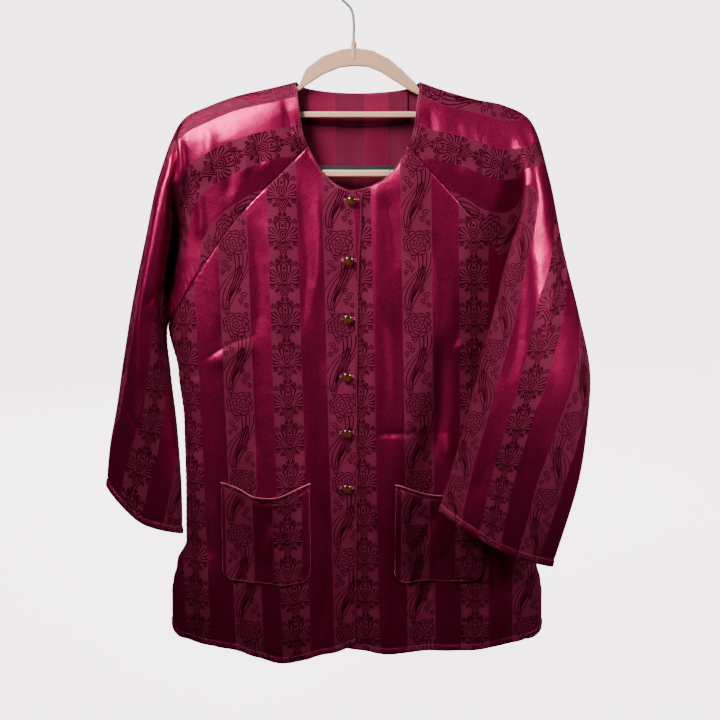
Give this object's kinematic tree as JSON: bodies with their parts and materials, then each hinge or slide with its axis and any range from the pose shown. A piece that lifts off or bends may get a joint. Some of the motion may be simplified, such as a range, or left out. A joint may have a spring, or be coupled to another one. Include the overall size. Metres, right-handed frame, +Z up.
{
  "type": "ao ba ba blouse on a clothes hanger",
  "caption": "Collarless buttoned blouse with raglan sleeves, two patch pockets and side slits, hung on a slim two-bar clothes hanger with a hook.",
  "frame": {"origin": "inside of the top of the hook's bend, where a rail carries it", "axes": "+Z up, the blouse's front faces -Y, the wearer's left sleeve is at +X"},
  "size_m": [0.6097, 0.1334, 0.8551],
  "materials": {
    "satin": "jacquard satin in stripes, plain satin next to floral figures on a matte rose ground",
    "button_glass": "polished amber brown, domed",
    "hanger_flock": "short beige flock, paler along the upper rim",
    "grip_rubber": "black, finely ribbed",
    "hook_steel": "bright plated wire"
  },
  "bodies": {
    "root": {"right_front": "satin", "left_front": "satin", "back": "satin", "right_sleeve": "satin", "left_sleeve": "satin", "back_neck_facing": "satin", "right_pocket": "satin", "left_pocket": "satin", "button_1": "button_glass", "button_2": "button_glass", "button_3": "button_glass", "button_4": "button_glass", "button_5": "button_glass", "button_6": "button_glass", "hanger": "hanger_flock", "grip_strip": "grip_rubber", "hook": "hook_steel"}
  },
  "joints": []
}
